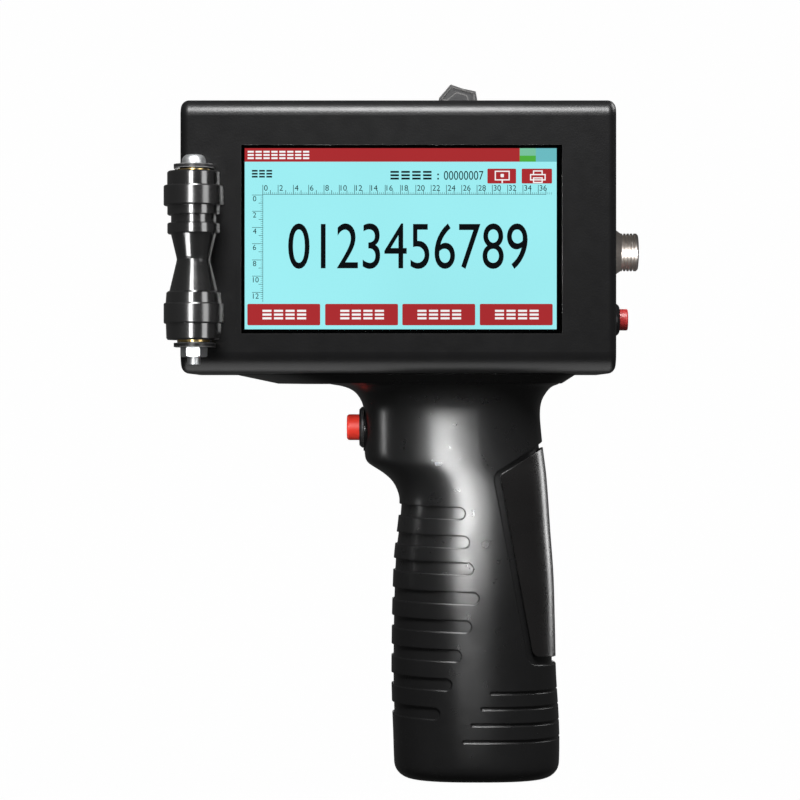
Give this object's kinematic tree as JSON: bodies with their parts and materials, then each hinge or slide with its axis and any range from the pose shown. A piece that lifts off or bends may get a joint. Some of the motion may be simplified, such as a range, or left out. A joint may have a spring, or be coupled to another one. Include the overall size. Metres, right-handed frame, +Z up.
{
  "type": "handheld inkjet coder",
  "caption": "Handheld date-code inkjet printer: box head with touch screen, guide rollers and rear hatch on a pistol grip with push trigger.",
  "frame": {"origin": "centre of the grip's flat base, where the printer stands", "axes": "+Z up, +X away from the printing side, +Y away from the screen; the screen faces -Y"},
  "size_m": [0.1447, 0.1, 0.2158],
  "materials": {
    "black_case": "fine sand texture, matt",
    "black_grip": "satin",
    "grip_insert": "semi-gloss",
    "gasket_foam": "matt",
    "screen_glass": "clear, lit display behind",
    "display_metal": "satin",
    "circuit_board": "solder mask",
    "component_black": "matt",
    "zinc_steel": "bright zinc",
    "brass_parts": "plain",
    "plate_steel": "brushed",
    "bracket_metal": "satin",
    "roller_black": "polished",
    "tyre_rubber": "smooth",
    "magnet_grey": "sintered",
    "socket_metal": "turned",
    "button_black": "satin",
    "button_red": "satin",
    "cell_wrap": "plastic sleeve over steel",
    "wire_red": "insulated wire",
    "wire_white": "insulated wire"
  },
  "bodies": {
    "housing": {"front_shell": "black_case", "rear_shell": "black_case", "window_gasket": "gasket_foam", "touch_panel": "screen_glass", "display_module": "display_metal", "main_board": "circuit_board", "board_components": "component_black", "board_standoffs": "brass_parts", "case_screws": "zinc_steel", "ink_cartridge": "component_black", "cartridge_nozzle_strip": "brass_parts", "nozzle_plate": "plate_steel", "nozzle_plate_screws": "zinc_steel", "cartridge_cradle": "component_black", "contact_board": "circuit_board", "contact_pins": "display_metal", "hatch_hinge_pin": "zinc_steel", "bracket_screws": "zinc_steel", "encoder_sensor": "circuit_board", "power_switch_body": "button_black", "charge_socket_shell": "socket_metal", "charge_socket_insert": "component_black", "charge_socket_pins": "display_metal", "charge_socket_nut": "socket_metal", "usb_socket": "display_metal", "power_button_body": "button_black", "power_button_nut": "button_black", "power_button_spring": "zinc_steel", "trigger_body": "button_black", "trigger_nut": "button_black", "trigger_spring": "zinc_steel", "grip_front": "black_grip", "grip_rear": "black_grip", "back_insert": "grip_insert", "grip_screws": "zinc_steel", "neck_screws": "zinc_steel", "battery_cells": "cell_wrap", "battery_cradle": "component_black", "battery_tabs": "brass_parts", "battery_leads": "wire_red", "trigger_leads": "wire_white", "socket_leads": "wire_red", "front_roller_bracket": "bracket_metal", "rear_roller_bracket": "bracket_metal", "roller_bolts": "zinc_steel", "roller_nuts": "zinc_steel"},
    "front_roller": {"front_roller_spool": "roller_black", "front_roller_tyres": "tyre_rubber", "front_roller_bushes": "brass_parts", "encoder_ring": "magnet_grey"},
    "rear_roller": {"rear_roller_spool": "roller_black", "rear_roller_tyres": "tyre_rubber", "rear_roller_bushes": "brass_parts"},
    "trigger": {"trigger_cap": "button_red"},
    "power_button": {"power_button_cap": "button_red"},
    "rocker": {"power_rocker": "button_black"},
    "hatch": {"cartridge_hatch": "black_case"},
    "latch": {"hatch_latch_knob": "black_case", "hatch_latch_tongue": "zinc_steel"}
  },
  "joints": [
    {"name": "front_roller_spin", "type": "hinge", "parent": "housing", "child": "front_roller", "pos_m": [-0.0854, -0.041, 0.16], "axis": [0, 0, 1], "continuous": true},
    {"name": "rear_roller_spin", "type": "hinge", "parent": "housing", "child": "rear_roller", "pos_m": [-0.0854, 0.041, 0.16], "axis": [0, 0, 1], "continuous": true},
    {"name": "trigger_press", "type": "slide", "parent": "housing", "child": "trigger", "axis": [1, 0, 0], "range_m": [0, 0.0025], "stiffness_N_per_m": 800, "springref_m": -0.002, "deforming": ["trigger_spring"]},
    {"name": "power_press", "type": "slide", "parent": "housing", "child": "power_button", "axis": [-1, 0, 0], "range_m": [0, 0.002], "stiffness_N_per_m": 700, "springref_m": -0.002, "deforming": ["power_button_spring"]},
    {"name": "rocker_toggle", "type": "hinge", "parent": "housing", "child": "rocker", "pos_m": [-0.0059, 0, 0.209], "axis": [0, -1, 0], "range_deg": [0, 31]},
    {"name": "hatch_hinge", "type": "hinge", "parent": "housing", "child": "hatch", "pos_m": [0.0025, 0.0326, 0.168], "axis": [0, 0, -1], "range_deg": [0, 120]},
    {"name": "hatch_latch_turn", "type": "hinge", "parent": "hatch", "child": "latch", "pos_m": [-0.0625, 0.03, 0.168], "axis": [0, -1, 0], "range_deg": [0, 90]}
  ]
}
